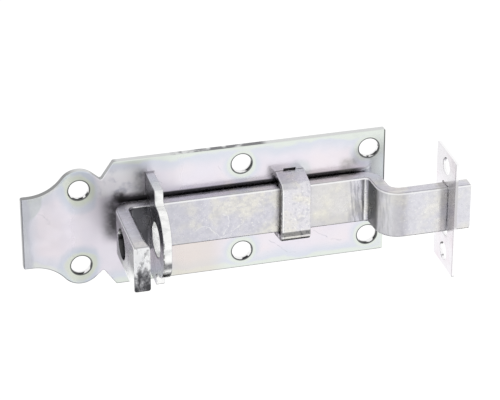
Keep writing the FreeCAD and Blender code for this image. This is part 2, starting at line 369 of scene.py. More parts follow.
class PlateFace:
    """Places on the plate and distances to its holes and edges, in millimetres."""

    def __init__(self, tree):
        self.tree = tree
        self.across = place_along(tree, "X")
        self.deep = place_along(tree, "Y")
        self.height = place_along(tree, "Z")
        to_holes = [distance_to(tree, x, z) for x, z in SCREW_HOLES]
        self.off_hole = total(tree, nearest(tree, *to_holes), -SCREW_HOLE_RADIUS)
        self.to_long_edge = short_of(tree, HALF_WIDTH, unsigned(tree, self.height))
        self.to_right_end = short_of(tree, HALF_LENGTH, self.across)
        self.to_left_end = total(tree, HALF_LENGTH, self.across)
        # The hollow run from the narrow end up to the lobe is an arc that touches the lobe's.
        run, rise = LOBE[0] - NARROW_END[0], LOBE[1] - NARROW_END[1]
        radius = (run**2 + rise**2 - LOBE_RADIUS**2) / (2 * (rise + LOBE_RADIUS))
        to_centre = distance_to(tree, NARROW_END[0], NARROW_END[1] + radius)
        self.to_hollow = total(tree, to_centre, -radius)
        self.to_edge = nearest(
            tree, self.to_long_edge, self.to_right_end, self.to_left_end, self.to_hollow
        )
        # Shifts the borders of the tints, so that none runs quite along its edge.
        self.wobble = ranged(tree, clouds(tree, 9.0, 0.3, 0.7, 3.0), -0.9, 0.9)
        self.upper_half = step(tree, self.height, 0.0, 1.0)

    def patch(self, x_steps, z_steps):
        """A soft-edged patch: it rises and falls over those pairs of x and of z."""
        beside = window(self.tree, self.across, *x_steps)
        return overlap(self.tree, beside, window(self.tree, self.height, *z_steps))


def passivation(tree, face, looks):
    """Rose in the middle of the sheet, blue towards edges and holes, straw right at them."""
    base = blend(tree, clouds(tree, 22.0, 0.44, 0.62, 3.0), looks.zinc_rose, "#EDE6EB")
    rolled = clouds(tree, 3.0, 0.35, 0.7, 3.0, 0.0, (9.0, 1.0, 1.0))
    base = tint(tree, rolled, 0.3, base, "#EAE8EF")
    near_edge = total(tree, face.to_edge, face.wobble)
    near_hole = total(tree, face.off_hole, overlap(tree, face.wobble, 0.4))
    blue = either(tree, step(tree, near_edge, 6.5, 2.0), step(tree, near_hole, 4.2, 1.4))
    base = tint(tree, blue, 0.75, base, looks.zinc_blue)
    straw = either(
        tree,
        step(tree, near_edge, 2.2, 0.8),
        step(tree, near_hole, 2.2, 1.0),
        overlap(tree, step(tree, face.to_right_end, 6.5, 2.0), 0.55),
    )
    return tint(tree, straw, 0.85, base, looks.zinc_straw)


def stains(tree, face, base):
    """Drip and dull end on the left, warm and pale patches, and strong rings on the lobes."""
    drip = step(tree, distance_to(tree, -60.5, 11.5), 7.4, 6.9)
    base = tint(tree, overlap(tree, drip, face.upper_half), 0.75, base, "#C6CFCD")
    left_rim = step(tree, total(tree, face.to_left_end, face.wobble), 3.2, 1.4)
    base = tint(tree, left_rim, 0.7, base, "#BBC1CC")
    base = tint(tree, step(tree, face.across, -40.0, -50.0), 0.35, base, "#CFC9D2")
    below_bar = step(tree, face.height, -7.0, -11.0)
    warm = overlap(tree, window(tree, face.across, (-16.0, -9.0), (8.0, 0.0)), below_bar)
    base = tint(tree, warm, 0.6, base, "#DED5CB")
    over_staple = step(tree, distance_to(tree, 31.0, 10.8), 5.0, 2.5)
    base = tint(tree, overlap(tree, over_staple, face.upper_half), 0.5, base, "#C4CFD0")
    beside_crank = window(tree, face.height, (1.0, 3.5), (14.5, 10.5))
    pale_end = overlap(tree, step(tree, face.across, 51.0, 55.0), beside_crank)
    base = tint(tree, pale_end, 0.75, base, "#F3FAFF")
    lobes = step(tree, face.across, -35.0, -37.0)
    uneven = total(tree, face.off_hole, face.wobble)
    blue_ring = overlap(tree, window(tree, uneven, (1.4, 2.6), (5.8, 3.4)), lobes)
    base = tint(tree, blue_ring, 0.4, base, "#BAC6D4")
    straw_ring = overlap(tree, step(tree, uneven, 2.8, 1.0), lobes)
    return tint(tree, straw_ring, 0.5, base, "#CACFBD")


def painted_shade_and_light(tree, face, base):
    """Painted shade: the black line above the bar and dark patches round handle, lug and crank,
    and painted light, mottled, between the notch and the lug.
    """
    # Painted light: the plate between the notch and the lug lightened, mottled with blue-grey.
    light_and_mottle = blend(tree, clouds(tree, 3.2, 0.49, 0.8, 6.0), "#FFFFFF", "#A9AFBD")
    by_notch = face.patch(((-37.0, -33.0), (-20.0, -22.0)), ((9.0, 11.0), (20.5, 17.5)))
    base = tint(tree, by_notch, 0.6, base, light_and_mottle)
    speckle = clouds(tree, 1.5, 0.36, 0.62, 5.0)
    # Painted shade: a black line along the top of the bar and a wedge above it by the handle.
    line = face.patch(((-30.5, -27.5), (55.0, 49.0)), ((7.0, 7.6), (9.5, 8.9)))
    shade_wedge = face.patch(((-31.5, -28.0), (-19.6, -20.6)), ((7.0, 7.6), (11.2, 8.9)))
    shade_wedge = overlap(tree, shade_wedge, ranged(tree, speckle, 0.85, 1.0))
    base = tint(tree, either(tree, line, shade_wedge), 0.93, base, "#1A1A1B")
    coarse = clouds(tree, 1.4, 0.36, 0.6, 3.0)
    # Painted shade patches, each with its steps in x and z, its speckle and what that leaves, its
    # strength and tone.
    shade_left_of_handle = ((-35.6, -30.6), (-26.0, -28.0)), ((-8.0, -1.5), (12.5, 6.5))
    shade_blot = ((-32.0, -29.5), (-25.5, -27.5)), ((7.5, 8.5), (12.8, 9.8))
    shade_left_of_lug = ((-25.0, -20.8), (-19.0, -19.5)), ((8.5, 9.5), (20.5, 16.0))
    shade_end_of_line = ((43.5, 46.5), (51.5, 47.0)), ((7.5, 9.0), (14.2, 11.6))
    for steps, pattern, least, strength, tone in (
        (shade_left_of_handle, speckle, 0.82, 0.86, "#30302D"),
        (shade_blot, coarse, 0.6, 0.8, "#3A3838"),
        (shade_left_of_lug, speckle, 0.6, 0.5, "#6A6C66"),
        (shade_end_of_line, speckle, 0.7, 0.5, "#8E8D84"),
    ):
        painted_dark = overlap(tree, face.patch(*steps), ranged(tree, pattern, least, 1.0))
        base = tint(tree, painted_dark, strength, base, tone)
    # Painted shade: a dark line where the top of the lug meets the plate.
    shade_at_lug_foot = face.patch(((-20.4, -20.1), (-16.6, -16.9)), ((16.4, 16.8), (17.5, 17.1)))
    return tint(tree, shade_at_lug_foot, 0.5, base, "#55555A")


def edge_lines(tree, face, base):
    """Thin dark lines at the rims of the holes and down both ends, and painted shade along the
    lower edge.
    """
    base = tint(tree, step(tree, face.off_hole, 0.6, 0.3), 0.9, base, "#434347")
    to_lobe_rim = unsigned(tree, short_of(tree, LOBE_RADIUS, distance_to(tree, *LOBE)))
    lobe_rim = overlap(
        tree,
        step(tree, to_lobe_rim, 0.5, 0.25),
        step(tree, unsigned(tree, face.height), 17.6, 18.0),
        step(tree, face.across, -36.0, -37.0),
    )
    # Painted shade: a thin line along the lower edge and the lobes' lower outline.
    to_lower_edge = nearest(tree, face.to_long_edge, face.to_hollow)
    lower = either(tree, step(tree, to_lower_edge, 0.45, 0.2), lobe_rim)
    lower = overlap(tree, lower, step(tree, face.height, 0.0, -3.0))
    base = tint(tree, lower, 0.75, base, "#77777C")
    base = tint(tree, step(tree, face.to_left_end, 0.5, 0.25), 0.7, base, "#66666A")
    right = step(tree, face.to_right_end, 0.65, 0.35)
    right = overlap(tree, right, step(tree, face.height, 0.0, 3.0))
    return tint(tree, right, 0.9, base, "#3E3E40")


def cut_walls(tree, face, base):
    """Cut edges burnt in places, white hole walls with dark burrs, and slots painted black as
    shade.
    """
    cut = step(tree, facing(tree, "Y"), 0.75, 0.35)
    burnt_run = window(tree, face.across, (-12.0, -8.0), (21.0, 18.0))
    burnt_run = overlap(tree, burnt_run, clouds(tree, 5.0, 0.6, 0.45, 3.0))
    edge = blend(tree, burnt_run, "#D3D4D4", "#77777A")
    edge = tint(tree, step(tree, face.across, -41.0, -46.0), 0.7, edge, "#5C5C5E")
    notch = window(tree, face.across, (-38.0, -36.5), (-28.5, -30.0))
    edge = tint(tree, notch, 0.6, edge, "#8B8C8E")
    base = tint(tree, cut, 1.0, base, edge)
    near_front = step(tree, face.deep, -0.7, -1.1)
    burr = overlap(tree, clouds(tree, 2.8, 0.47, 0.51, 1.5), near_front)
    punched = overlap(tree, cut, step(tree, face.off_hole, 0.7, 0.4))
    base = tint(tree, punched, 1.0, base, blend(tree, burr, "#F2F2F2", "#18181A"))
    # Painted shade: the walls of the slots black.
    inside = overlap(
        tree,
        step(tree, face.to_edge, 3.0, 4.0),
        step(tree, face.off_hole, 2.0, 3.0),
        step(tree, face.across, -26.0, -24.0),
    )
    return tint(tree, overlap(tree, cut, inside), 1.0, base, "#101012")


def bright_zinc_plated_sheet(looks):
    """Bright zinc-plated, blue-passivated sheet steel, rolled and barrel plated.

    The thin passivation shows rose in the middle of the sheet, blue towards its edges and straw
    right at every edge and hole. Its front is stained at both ends, and carries painted shade
    along the bar, at the handle, beside the lug and along the lower edge, and painted light
    between the notch and the lug. The cut edges are darker in places, as the punch left them,
    the slots are painted black as shade, and the sheet carries a few long handling scratches and
    one drip mark at its narrow end.
    """
    material, tree, shader = new_metal("bright_zinc_plated_sheet", "plate_zinc")
    face = PlateFace(tree)
    plain = passivation(tree, face, looks)
    base = stains(tree, face, plain)
    marks = either(tree, *(scored_line(tree, points, 0.16) for points in PLATE_SCRATCHES))
    base = tint(tree, marks, 0.5, base, "#B4B4BE")
    base = painted_shade_and_light(tree, face, base)
    base = edge_lines(tree, face, base)
    front = step(tree, face.deep, -0.9, -1.1)
    base = blend(tree, front, plain, base)
    base = cut_walls(tree, face, base)
    # Zinc's grain is under 0.1 mm, too fine to show, so it is drawn at 0.6 mm.
    grain = clouds(tree, 0.6, 0.3, 0.7, 3.0)
    waves = clouds(tree, 18.0, 0.25, 0.75, 2.0)
    rough = ranged(tree, clouds(tree, 5.0, 0.3, 0.7), 0.17, 0.25)
    handled = window(tree, face.across, (-46.0, -40.0), (-6.0, -14.0))
    rough = total(tree, rough, overlap(tree, handled, 0.2))
    bumps = ((waves, 0.04), (grain, 0.003), (overlap(tree, marks, front), -0.01))
    finish_metal(tree, shader, base, rough, bumps)
    return material


class BarSurface:
    """Places on the bar, in millimetres, and which of its faces is meant."""

    def __init__(self, tree):
        self.across = place_along(tree, "X")
        self.deep = place_along(tree, "Y")
        self.height = place_along(tree, "Z")
        self.sideways = facing(tree, "X")
        self.upright = facing(tree, "Z")
        self.wide_face = step(tree, self.upright, 0.6, 0.3)
        self.narrow_face = step(tree, self.upright, 0.5, 0.9)
        self.upper_half = step(tree, self.height, 0.0, 1.0)
        self.cranked_out = step(tree, self.deep, -13.0, -15.0)


def handled_plating(tree, looks):
    """Grey with soft light patches, a fine mottle and specks."""
    patches = clouds(tree, 9.0, 0.44, 0.64, 3.0)
    base = tint(tree, patches, 0.7, looks.bar_grey, looks.bar_light)
    base = tint(tree, clouds(tree, 1.3, 0.4, 0.66, 5.0), 0.38, base, "#B9B9C4")
    # Specks of zinc are under 0.1 mm, too fine to show, so they are drawn at 0.5 mm.
    return tint(tree, clouds(tree, 0.5, 0.63, 0.72, 2.0), 0.7, base, "#FAFAF4")


def dull_and_light_runs(tree, bar, base, looks):
    """Duller towards the lug, and lighter before the crank but for its lower edge."""
    base = tint(tree, step(tree, bar.across, 4.0, -10.0), 0.35, base, "#BEBEC6")
    before_crank = window(tree, bar.across, (30.0, 36.0), (50.0, 44.0))
    base = tint(tree, before_crank, 0.4, base, looks.bar_light)
    low_right = window(tree, bar.across, (30.0, 34.0), (49.0, 45.0))
    low_right = overlap(tree, low_right, step(tree, bar.height, -2.5, -6.0))
    return tint(tree, low_right, 0.35, base, "#B9B8C4")


def narrow_faces_and_hole(tree, bar, base):
    """Drawn lines on the narrow faces, a dark hole wall, a painted highlight on the upper arris
    and a painted shade line beside it.
    """
    drawn = clouds(tree, 0.7, 0.42, 0.6, 3.0, 0.0, (30.0, 1.0, 1.0))
    base = tint(tree, overlap(tree, drawn, bar.narrow_face), 0.35, base, "#BDB6BC")
    pale_top = window(tree, bar.across, (36.0, 42.0), (62.0, 58.0))
    base = tint(tree, overlap(tree, pale_top, bar.narrow_face), 0.3, base, "#E2DCE2")
    hole_wall = step(tree, from_padlock_hole(tree), 5.55, 5.42)
    hole_wall = overlap(tree, hole_wall, step(tree, bar.across, -20.0, -24.0))
    base = tint(tree, hole_wall, 0.92, base, "#232325")
    # Painted highlight on the upper arris, and a painted shade line beside it towards the top
    # face.
    arris = window(tree, bar.upright, (0.15, 0.3), (0.75, 0.6))
    base = tint(tree, overlap(tree, arris, bar.upper_half), 0.75, base, "#FFFFFF")
    arris_shade_line = window(tree, bar.upright, (0.75, 0.85), (0.985, 0.93))
    return tint(tree, overlap(tree, arris_shade_line, bar.upper_half), 0.6, base, "#8A8A8E")


def crank_light_and_shade(tree, bar, base):
    """Painted reflections in white, grey and pale runs on the outer bend, painted shade on the
    wall and in the crease, and a painted highlight beside the crease.
    """
    # Painted reflections: white, grey and pale runs across the outer bend.
    for run, strength, tone in (
        (window(tree, bar.across, (51.0, 54.0), (60.5, 57.0)), 0.45, "#FFFFFF"),
        (window(tree, bar.across, (56.5, 58.0), (62.5, 60.0)), 0.28, "#ABA8AA"),
        (step(tree, bar.across, 60.0, 63.5), 0.26, "#F4F4F6"),
    ):
        outer_bend = overlap(tree, bar.cranked_out, bar.wide_face, run)
        base = tint(tree, outer_bend, strength, base, tone)
    # Painted shade on the crank's wall.
    wall = step(tree, bar.sideways, 0.92, 0.995)
    wall = overlap(tree, wall, window(tree, bar.across, (40.0, 45.0), (70.0, 65.0)))
    base = tint(tree, wall, 0.95, base, "#666766")
    foot = overlap(tree, step(tree, bar.deep, -10.0, -9.0), step(tree, bar.upright, 0.4, 0.1))
    # Painted shade in the crease where the bend starts, and a painted highlight just beside it.
    crease = window(tree, bar.across, (50.6, 50.9), (51.6, 51.3))
    base = tint(tree, overlap(tree, crease, foot), 0.6, base, "#58585A")
    crease_highlight = window(tree, bar.across, (51.5, 51.7), (52.2, 51.9))
    return tint(tree, overlap(tree, crease_highlight, foot), 0.65, base, "#FBFBFA")


def shaded_faces(tree, bar, base):
    """Painted shade on the handle's grey sides with a painted white reflection low down, and
    before the lug and the strike plate.
    """
    # Painted shade on the handle's sides, with a painted white reflection low on their outer part.
    handle = step(tree, bar.sideways, 0.85, 0.99)
    handle = overlap(tree, handle, step(tree, bar.across, -20.0, -25.0))
    painted_reflection_low = step(tree, bar.deep, -13.0, -22.0)
    painted_reflection_low = overlap(tree, painted_reflection_low, step(tree, bar.height, 1.5, -3.5))
    base = tint(tree, handle, 1.0, base, blend(tree, painted_reflection_low, "#ACAAAE", "#FFFFFF"))
    # Painted shade on the bar's front in the pocket between the handle and the lug.
    before_lug = window(tree, bar.across, (-26.5, -25.0), (-19.0, -21.0))
    base = tint(tree, overlap(tree, before_lug, bar.wide_face), 0.95, base, "#5A5A5E")
    # Painted shade on the bar just before the strike plate.
    before_strike = window(tree, bar.across, (72.2, 73.4), (75.4, 75.2))
    before_strike = overlap(tree, before_strike, step(tree, bar.deep, -14.0, -16.0))
    return tint(tree, before_strike, 0.4, base, "#88898C")


def zinc_plated_drawn_bar(looks):
    """Zinc-plated drawn flat bar, bent cold.

    The plating lies over a drawn, handled surface: soft light patches about a centimetre wide,
    fine white specks, long wavy scratches and brushed marks at the crank. It carries a painted
    highlight on its upper arris, painted reflections on the crank's outer bend, and painted shade
    on and beside the handle, beside the lug, on the crank and before the strike plate.
    The sheared end is bright where the blade cut and dark where the steel tore.
    """
    material, tree, shader = new_metal("zinc_plated_drawn_bar", "bar_zinc")
    bar = BarSurface(tree)
    base = handled_plating(tree, looks)
    marks = either(tree, *(scored_line(tree, points, 0.17) for points in BAR_SCRATCHES))
    base = tint(tree, marks, 0.6, base, "#FDFDFB")
    base = dull_and_light_runs(tree, bar, base, looks)
    brushed = overlap(
        tree,
        clouds(tree, 0.9, 0.4, 0.62, 4.0, 0.12, (1.0, 1.0, 7.0)),
        window(tree, bar.across, (44.5, 48.5), (58.5, 55.0)),
        bar.wide_face,
    )
    base = tint(tree, brushed, 0.6, base, "#85858C")
    base = narrow_faces_and_hole(tree, bar, base)
    base = crank_light_and_shade(tree, bar, base)
    base = shaded_faces(tree, bar, base)

    sheared = step(tree, bar.deep, -33.2, -33.6)
    pulled = millimetre_coordinates(tree, 0.0, (1.0, 1.0, 1.8))
    inputs = {"Vector": pulled, "Scale": 0.55, "Detail": 4.0, "Roughness": 0.62}
    pits = add(tree, "ShaderNodeTexNoise", inputs).outputs["Fac"]
    pits = total(tree, pits, overlap(tree, step(tree, bar.height, 2.5, -7.5), 0.31))
    torn = overlap(tree, step(tree, pits, 0.5, 0.74), sheared)
    base = tint(tree, sheared, 0.8, base, "#F3F4F5")
    base = tint(tree, torn, 0.9, base, looks.cut_dark)
    deepest = overlap(tree, step(tree, pits, 0.72, 0.86), sheared)
    base = tint(tree, deepest, 0.8, base, "#2A2A2D")

    # Zinc's grain is under 0.1 mm, too fine to show, so it is drawn at 0.35 mm.
    grain = clouds(tree, 0.35, 0.3, 0.7, 3.0)
    dents = clouds(tree, 5.0, 0.2, 0.8, 3.0)
    rough = ranged(tree, clouds(tree, 3.0, 0.3, 0.7), 0.24, 0.36)
    outer_bend = window(tree, bar.across, (51.0, 54.0), (66.0, 60.0))
    outer_bend = overlap(tree, outer_bend, bar.cranked_out)
    rough = total(tree, rough, overlap(tree, outer_bend, 0.24))
    bumps = ((dents, 0.04), (grain, 0.006), (marks, -0.012), (torn, -0.05), (brushed, -0.01))
    finish_metal(tree, shader, base, rough, bumps)
    return material


def zinc_plated_stamping(looks):
    """Zinc-plated blanked sheet, 3 mm thick, with a torn edge.

    The two faces are satin, painted a shaded grey, darker above the middle and lighter below, and
    the edge's upward faces at the top carry a greyer painted shade. The blanked edge is bright
    where the punch burnished it, cracked along its left arris, and at the lower side of the eye it
    is dark and grainy where the metal tore.
    """
    material, tree, shader = new_metal("zinc_plated_stamping", "lug_zinc")
    across = place_along(tree, "X")
    height = place_along(tree, "Z")
    off_axis = from_padlock_hole(tree)
    # Painted shade: the faces grey, darker above the middle and lighter below.
    base = blend(tree, clouds(tree, 4.0, 0.4, 0.66, 4.0), "#8F8D95", "#AAA8AE")
    base = tint(tree, step(tree, height, -1.0, 5.0), 0.6, base, "#6C6C70")
    base = tint(tree, step(tree, height, -2.0, -7.0), 0.9, base, "#C4C2C9")

    mottle = clouds(tree, 1.8, 0.44, 0.62, 5.0, 0.0, (2.0, 1.0, 1.0))
    edge = blend(tree, overlap(tree, mottle, 0.3), "#F8F8F7", "#B4B5B8")
    # Painted shade: the edge's upward faces at the top greyer.
    top = overlap(tree, step(tree, facing(tree, "Z"), 0.8, 0.95), step(tree, height, 15.0, 16.0))
    edge = tint(tree, top, 0.6, edge, "#C2C2CA")
    torn = overlap(
        tree,
        ranged(tree, clouds(tree, 1.3, 0.36, 0.52, 5.0), 0.75, 1.0),
        window(tree, height, (-12.8, -12.0), (-2.4, -4.2)),
        window(tree, off_axis, (7.0, 8.0), (11.5, 11.0)),
    )
    edge = tint(tree, torn, 0.93, edge, looks.cut_dark)
    cracked = overlap(
        tree,
        step(tree, across, -19.2, -19.6),
        clouds(tree, 1.1, 0.5, 0.56, 4.0),
        step(tree, height, 6.0, 5.0),
        step(tree, off_axis, 7.0, 8.0),
    )
    edge = tint(tree, cracked, 0.75, edge, "#5A5A5E")
    base = tint(tree, step(tree, facing(tree, "X"), 0.75, 0.45), 1.0, base, edge)

    # Zinc's grain is under 0.1 mm, too fine to show, so it is drawn at 0.4 mm.
    grain = clouds(tree, 0.4, 0.3, 0.7, 3.0)
    rough = ranged(tree, clouds(tree, 3.0, 0.3, 0.7), 0.22, 0.34)
    finish_metal(tree, shader, base, rough, ((mottle, 0.03), (torn, -0.06), (grain, 0.006)))
    return material


def zinc_plated_band(looks):
    """Zinc-plated band steel, bent in a press.

    Fine grained and nearly white, with a straw tint where the bend stretched the plating, darker
    cut edges, a painted highlight on its left arris, and painted shade on its lower leg, at its
    lower fold and where its feet sit in the plate's slots.
    """
    material, tree, shader = new_metal("zinc_plated_band", "staple_zinc")
    across = place_along(tree, "X")
    height = place_along(tree, "Z")
    cut_face = facing(tree, "X")
    straw = clouds(tree, 6.0, 0.46, 0.66, 4.0)
    base = blend(tree, overlap(tree, straw, 0.55), looks.staple_white, "#ECE8D8")
    mottle = clouds(tree, 0.8, 0.5, 0.66, 4.0)
    base = tint(tree, mottle, 0.5, base, "#BFBFC8")
    # Specks of zinc are under 0.1 mm, too fine to show, so they are drawn at 0.5 mm.
    base = tint(tree, clouds(tree, 0.5, 0.6, 0.7, 2.0), 0.8, base, "#FFFFFC")
    cut_edge = overlap(tree, step(tree, cut_face, 0.5, 0.8), clouds(tree, 1.5, 0.3, 0.5, 3.0))
    base = tint(tree, cut_edge, 0.8, base, "#5C5C60")
    # Painted highlight on the left arris.
    left_arris_highlight = window(tree, across, (22.8, 22.95), (23.5, 23.3))
    base = tint(tree, overlap(tree, left_arris_highlight, step(tree, cut_face, 0.8, 0.5)), 0.8, base, "#FFFFFF")

    leg = step(tree, facing(tree, "Z"), 0.3, 0.6)
    # Painted shade on the lower leg.
    lower_leg_shade = overlap(tree, leg, step(tree, height, 0.0, -1.0))
    base = tint(tree, lower_leg_shade, 0.8, base, "#5E5E62")
    # Painted shade at the lower fold.
    fold = overlap(
        tree,
        window(tree, height, (-8.15, -7.95), (-6.2, -6.6)),
        step(tree, facing(tree, "Y"), 0.5, 0.8),
        ranged(tree, mottle, 0.75, 1.0),
    )
    base = tint(tree, fold, 0.97, base, "#5A5A5C")
    dull_leg = overlap(tree, leg, step(tree, across, 31.0, 23.5))
    base = tint(tree, dull_leg, 0.4, base, "#98989E")
    # Painted shade: black where the feet sit in the plate's slots.
    seated_shade = window(tree, place_along(tree, "Y"), (-2.3, -2.1), (-0.1, -0.3))
    base = tint(tree, seated_shade, 0.9, base, "#1A1A1C")

    # Zinc's grain is under 0.1 mm, too fine to show, so it is drawn at 0.4 mm.
    grain = clouds(tree, 0.4, 0.3, 0.7, 3.0)
    rough = ranged(tree, clouds(tree, 2.0, 0.3, 0.7), 0.26, 0.38)
    finish_metal(tree, shader, base, rough, ((mottle, 0.01), (grain, 0.008)))
    return material


def smooth_zinc_plated_sheet(looks):
    """Thin bright zinc-plated sheet, smooth and nearly white.

    Faint rose clouds and a few fine scratches lie on it. It carries painted shade from the bar
    in a slanting band beside it, and its cut edge is white with a thin dark line down the front.
    """
    material, tree, shader = new_metal("smooth_zinc_plated_sheet", "strike_zinc")
    deep = place_along(tree, "Y")
    height = place_along(tree, "Z")
    flat_face = facing(tree, "X")
    base = blend(tree, clouds(tree, 10.0, 0.4, 0.66, 3.0), looks.strike_white, "#EBE2E8")
    base = tint(tree, step(tree, height, 7.0, 13.0), 0.5, base, "#DCDADC")
    base = tint(tree, scratches(tree, 8.0, 0.012, 0.3, 0.56), 0.3, base, "#C4C4CC")
    base = tint(tree, step(tree, flat_face, 0.6, 0.3), 0.8, base, "#FFFFFF")
    from_front = total(tree, deep, -STRIKE_FRONT)
    front_line = overlap(tree, step(tree, from_front, 0.45, 0.3), step(tree, flat_face, 0.6, 0.9))
    base = tint(tree, front_line, 0.5, base, "#8A868A")
    # Painted shade of the bar, a slanting grey band on the face beside it.
    slant = overlap(tree, total(tree, deep, 20.8), 0.75)
    off_band = unsigned(tree, total(tree, height, slant))
    bar_shade_band = overlap(tree, step(tree, deep, -21.0, -21.6), step(tree, off_band, 9.4, 7.9))
    base = tint(tree, bar_shade_band, 0.55, base, "#99969A")
    rough = ranged(tree, clouds(tree, 4.0, 0.3, 0.7), 0.2, 0.28)
    finish_metal(tree, shader, base, rough, ((clouds(tree, 12.0, 0.2, 0.8, 2.0), 0.02),))
    return material


def dress(node_name, material):
    """Gives a CAD node its material in every slot."""
    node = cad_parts[node_name]
    for slot in node.material_slots:
        slot.material = material


def start_piece():
    """Object mode with nothing selected."""
    if bpy.context.object and bpy.context.object.mode != "OBJECT":
        bpy.ops.object.mode_set(mode="OBJECT")
    bpy.ops.object.select_all(action="DESELECT")


def pick_edges(piece, test):
    """In edit mode, selects only the edges that pass the test."""
    bpy.ops.mesh.select_mode(type="EDGE")
    bpy.ops.mesh.select_all(action="DESELECT")
    mesh = bmesh.from_edit_mesh(piece.data)
    picked = [edge for edge in mesh.edges if test(edge)]
    if not picked:
        raise RuntimeError("nothing to pick on " + piece.name)
    for edge in picked:
        edge.select_set(True)
    mesh.select_flush_mode()
    bmesh.update_edit_mesh(piece.data)


def move_on(x, y):
    """Extrudes what is selected by x and y millimetres."""
    bpy.ops.mesh.extrude_region_move(TRANSFORM_OT_translate={"value": (x * MM, y * MM, 0)})


def bend_on(x, y, degrees, steps):
    """Turns what is selected on about an upright axis through x and y, leaving the bend behind."""
    centre = (x * MM, y * MM, 0)
    bpy.ops.mesh.spin(steps=steps, angle=math.radians(degrees), center=centre, axis=(0, 0, 1))


class SLIDEBOLT_OT_bolt(bpy.types.Operator):
    """Models the bar with its sheared handle end, its bends and the padlock's hole"""

    bl_idname = "slidebolt.bolt"
    bl_label = "Bolt"

    def execute(self, context):
        looks = context.scene.slide_bolt
        start_piece()
        piece = self.sheared_face(context, looks)
        self.spread_end(piece, looks)
        self.bar_with_bends(looks.shear_depth)
        bpy.ops.mesh.select_all(action="SELECT")
        bpy.ops.mesh.remove_doubles(threshold=0.0005 * MM)
        bpy.ops.mesh.normals_make_consistent(inside=False)
        bpy.ops.object.mode_set(mode="OBJECT")
        self.padlock_hole(context, piece, looks.handle_hole)
        bpy.ops.object.shade_smooth_by_angle(angle=math.radians(35))
        piece.data.materials.clear()
        piece.data.materials.append(zinc_plated_drawn_bar(looks))
        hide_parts("bolt")
        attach(piece, "bolt")
        return {"FINISHED"}

    def sheared_face(self, context, looks):
        """Starts the piece with the sheared end's own face, its corners rounded."""
        spread = looks.shear_spread
        bpy.ops.mesh.primitive_plane_add(size=1, rotation=(math.pi / 2, 0, 0))
        piece = context.object
        piece.name = "cranked_bolt"
        bpy.ops.object.transform_apply(location=True, rotation=True, scale=True)
        bpy.ops.object.mode_set(mode="EDIT")
        bpy.ops.mesh.select_all(action="SELECT")
        thickness, width = BAR_THICKNESS + spread - 0.3, BAR_WIDTH - 1.4
        size = (thickness * MM, 1, width * MM)
        bpy.ops.transform.resize(value=size, center_override=(0, 0, 0))
        bpy.ops.transform.translate(value=((HANDLE_X + spread / 2) * MM, BAR_LOW.y * MM, 0))
        bpy.ops.mesh.bevel(offset=looks.bar_edge * MM, segments=4, affect="VERTICES")
        return piece

    def spread_end(self, piece, looks):
        """Extrudes the end, which the blade spread inwards, until it has the bar's own section."""
        spread = looks.shear_spread
        rim, burr, swell = 0.2, 0.5, 0.8
        run_out = looks.shear_depth - (rim + burr + swell)
        middle_x = HANDLE_X + spread / 2
        for length, thickness, width, shift in (
            (rim, BAR_THICKNESS + spread, BAR_WIDTH - 0.8, 0.0),
            (burr, BAR_THICKNESS + spread, BAR_WIDTH - 0.3, 0.0),
            (swell, BAR_THICKNESS + 0.7 * spread, BAR_WIDTH, -0.15 * spread),
            (run_out, BAR_THICKNESS, BAR_WIDTH, -0.35 * spread),
        ):
            move_on(0, length)
            mesh = bmesh.from_edit_mesh(piece.data)
            section = [v.co for v in mesh.verts if v.select]
            x_now = max(v.x for v in section) - min(v.x for v in section)
            z_now = max(v.z for v in section) - min(v.z for v in section)
            scale = (thickness * MM / x_now, 1, width * MM / z_now)
            bpy.ops.transform.resize(value=scale, center_override=(middle_x * MM, 0, 0))
            bpy.ops.transform.translate(value=(shift * MM, 0, 0))
            middle_x += shift

    def bar_with_bends(self, shear_depth):
        """Extrudes the handle, the straight bar and the crank, turning the bends between them."""
        handle_bend = 1.6 + HALF_BAR
        foot_bend = 1.2 + HALF_BAR
        head_bend = 3.0 + HALF_BAR
        crank = math.radians(CRANK_DEGREES)
        foot_x = HALF_LENGTH - CRANK_INSET + HALF_BAR * math.tan(crank / 2)
        head_x = foot_x + CRANK_OFFSET / math.tan(crank)
        head_y = BAR_Y - CRANK_OFFSET
        foot_run = foot_bend * math.tan(crank / 2)
        head_run = head_bend * math.tan(crank / 2)
        slope = CRANK_OFFSET / math.sin(crank) - foot_run - head_run
        move_on(0, BAR_Y - handle_bend - (BAR_LOW.y + shear_depth))
        bend_on(HANDLE_X + handle_bend, BAR_Y - handle_bend, 90, 12)
        move_on(foot_x - foot_run - (HANDLE_X + handle_bend), 0)
        bend_on(foot_x - foot_run, BAR_Y - foot_bend, CRANK_DEGREES, 10)
        move_on(slope * math.cos(crank), -slope * math.sin(crank))
        bend_on(head_x + head_run, head_y + head_bend, -CRANK_DEGREES, 10)
        move_on(BAR_HIGH.x - CHAMFER - (head_x + head_run), 0)
        move_on(CHAMFER, 0)
        end = (BAR_HIGH.x * MM, head_y * MM, 0)
        bpy.ops.transform.resize(value=(1, 0.85, 0.96), center_override=end)

    def padlock_hole(self, context, piece, diameter):
        """Cuts the padlock's hole with a round cutter and bevels both its rims."""
        bpy.ops.object.select_all(action="DESELECT")
        bpy.ops.mesh.primitive_cylinder_add(
            vertices=72,
            radius=diameter / 2 * MM,
            depth=12 * MM,
            location=(HANDLE_X * MM, PADLOCK_HOLE_Y * MM, 0),
            rotation=(0, math.pi / 2, 0),
        )
        bpy.ops.object.transform_apply(location=True, rotation=True, scale=True)
        cutter = context.object
        cutter.select_set(False)
        cut = piece.modifiers.new("padlock hole", "BOOLEAN")
        cut.object = cutter
        cut.solver = "EXACT"
        context.view_layer.objects.active = piece
        bpy.ops.object.modifier_apply(modifier=cut.name)
        bpy.data.objects.remove(cutter, do_unlink=True)
        piece.select_set(True)

